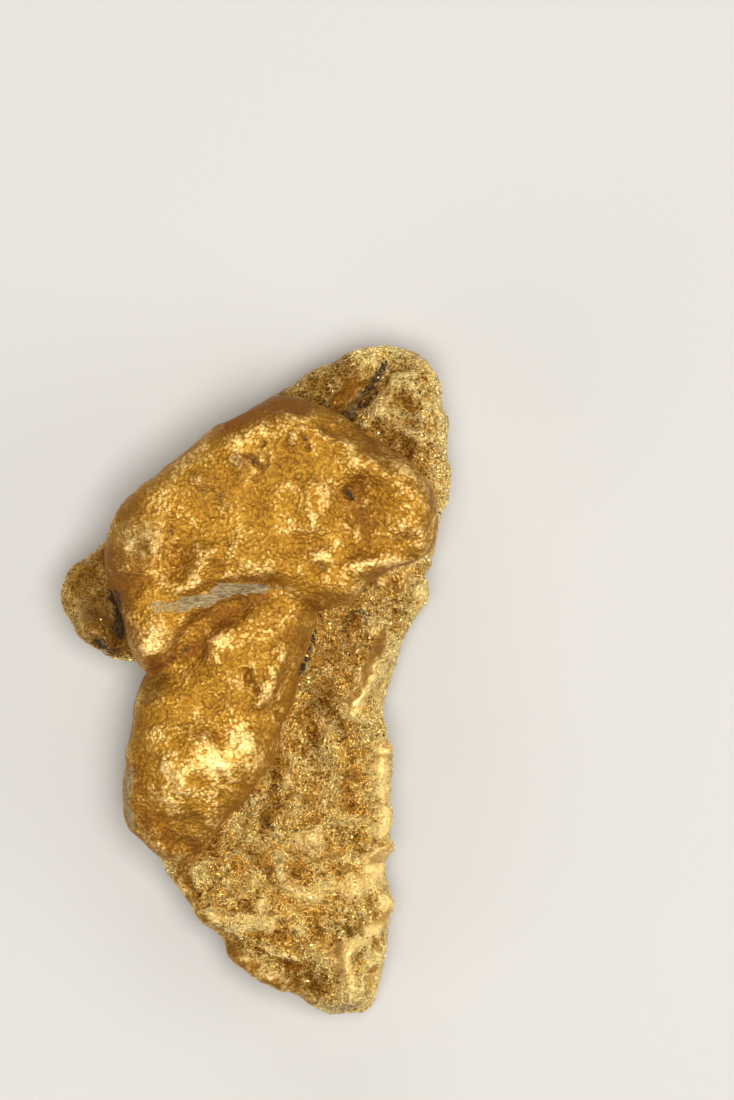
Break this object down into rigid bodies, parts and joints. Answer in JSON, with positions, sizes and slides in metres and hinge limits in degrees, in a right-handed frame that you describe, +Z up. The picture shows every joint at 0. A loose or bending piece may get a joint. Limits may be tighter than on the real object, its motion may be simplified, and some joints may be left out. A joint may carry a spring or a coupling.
{
  "type": "gold nugget",
  "caption": "Natural gold nugget lying on its back: two smooth folded lobes over a rough slab, with a crown and a side knob.",
  "frame": {"origin": "centre of the bounding box in X and Y, at the plane the nugget rests on", "axes": "+Y along the nugget towards its crown, +Z up, away from the surface it rests on"},
  "size_m": [0.0329, 0.0564, 0.017],
  "materials": {
    "gold": null
  },
  "bodies": {
    "root": {"nugget": "gold"}
  },
  "joints": []
}
